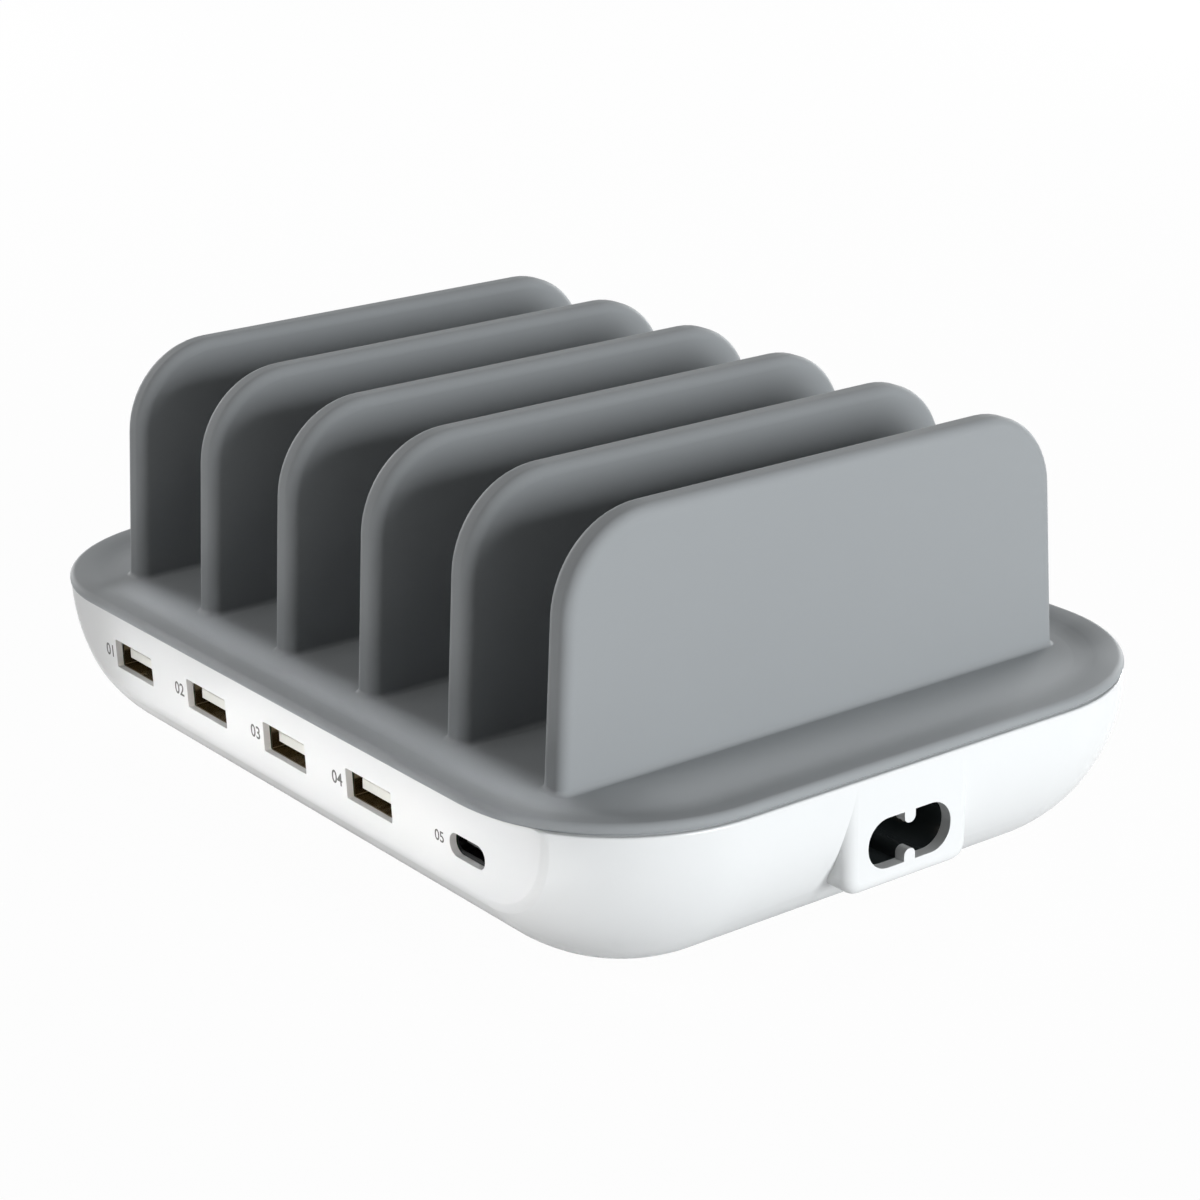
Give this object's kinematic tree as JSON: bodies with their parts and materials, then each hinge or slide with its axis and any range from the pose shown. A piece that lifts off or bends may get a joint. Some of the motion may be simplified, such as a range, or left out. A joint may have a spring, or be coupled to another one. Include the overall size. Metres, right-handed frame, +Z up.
{
  "type": "charging station organizer",
  "caption": "Desktop charging station: rounded white base with front USB ports and a side mains inlet, under a gray tray with upright dividers that hold phones and tablets on edge.",
  "frame": {"origin": "centre of the footprint at the bottoms of the feet", "axes": "+X to the right along the row of ports, towards the mains inlet; +Y to the back; +Z up"},
  "size_m": [0.173, 0.1256, 0.0743],
  "materials": {
    "white_abs": "glossy moulded ABS",
    "gray_abs": "satin moulded ABS",
    "gray_rubber": "matt",
    "socket_steel": "nickel-plated sheet",
    "socket_plastic": "moulded",
    "socket_nylon": "moulded",
    "contact_gold": "gold-plated",
    "inlet_plastic": "moulded",
    "pin_nickel": "nickel-plated brass",
    "screw_steel": "zinc-plated",
    "board_laminate": "solder mask on glass laminate",
    "chip_epoxy": "moulded epoxy",
    "fuse_ceramic": "ceramic tube",
    "film_box": "boxed film capacitor",
    "ferrite": "ground ferrite",
    "copper_wire": "enamelled wire",
    "bobbin_plastic": "moulded",
    "winding_tape": "polyester tape",
    "capacitor_sleeve": "shrink sleeve on an aluminium can",
    "sink_aluminium": "extruded",
    "lead_brown": "insulated wire",
    "lead_blue": "insulated wire",
    "lead_red": "insulated wire",
    "lead_black": "insulated wire"
  },
  "bodies": {
    "root": {"base_shell": "white_abs", "top_cover": "gray_abs", "case_screws": "screw_steel", "rubber_foot_1": "gray_rubber", "usb_a_shell_1": "socket_steel", "usb_a_insulator_1": "socket_nylon", "usb_a_contacts_1": "contact_gold", "rubber_foot_2": "gray_rubber", "usb_a_shell_2": "socket_steel", "usb_a_insulator_2": "socket_nylon", "usb_a_contacts_2": "contact_gold", "rubber_foot_3": "gray_rubber", "usb_a_shell_3": "socket_steel", "usb_a_insulator_3": "socket_nylon", "usb_a_contacts_3": "contact_gold", "rubber_foot_4": "gray_rubber", "usb_a_shell_4": "socket_steel", "usb_a_insulator_4": "socket_nylon", "usb_a_contacts_4": "contact_gold", "usb_c_shell": "socket_steel", "usb_c_insulator": "socket_plastic", "usb_c_contacts": "contact_gold", "inlet_body": "inlet_plastic", "inlet_pin_live": "pin_nickel", "inlet_pin_neutral": "pin_nickel", "port_board": "board_laminate", "port_board_screws": "screw_steel", "charge_controller_1": "chip_epoxy", "charge_controller_2": "chip_epoxy", "charge_controller_3": "chip_epoxy", "charge_controller_4": "chip_epoxy", "charge_controller_5": "chip_epoxy", "power_board": "board_laminate", "power_board_screws": "screw_steel", "fuse": "fuse_ceramic", "x_capacitor": "film_box", "choke_core": "ferrite", "choke_coil_1": "copper_wire", "choke_coil_2": "copper_wire", "bridge_rectifier": "chip_epoxy", "bulk_capacitor_1": "capacitor_sleeve", "bulk_capacitor_2": "capacitor_sleeve", "transformer_core": "ferrite", "transformer_bobbin": "bobbin_plastic", "transformer_winding": "winding_tape", "heat_sink": "sink_aluminium", "switching_transistor": "chip_epoxy", "output_capacitor_1": "capacitor_sleeve", "output_capacitor_2": "capacitor_sleeve", "opto_coupler": "chip_epoxy", "mains_lead_live": "lead_brown", "mains_lead_neutral": "lead_blue", "output_lead_positive": "lead_red", "output_lead_negative": "lead_black"}
  },
  "joints": []
}
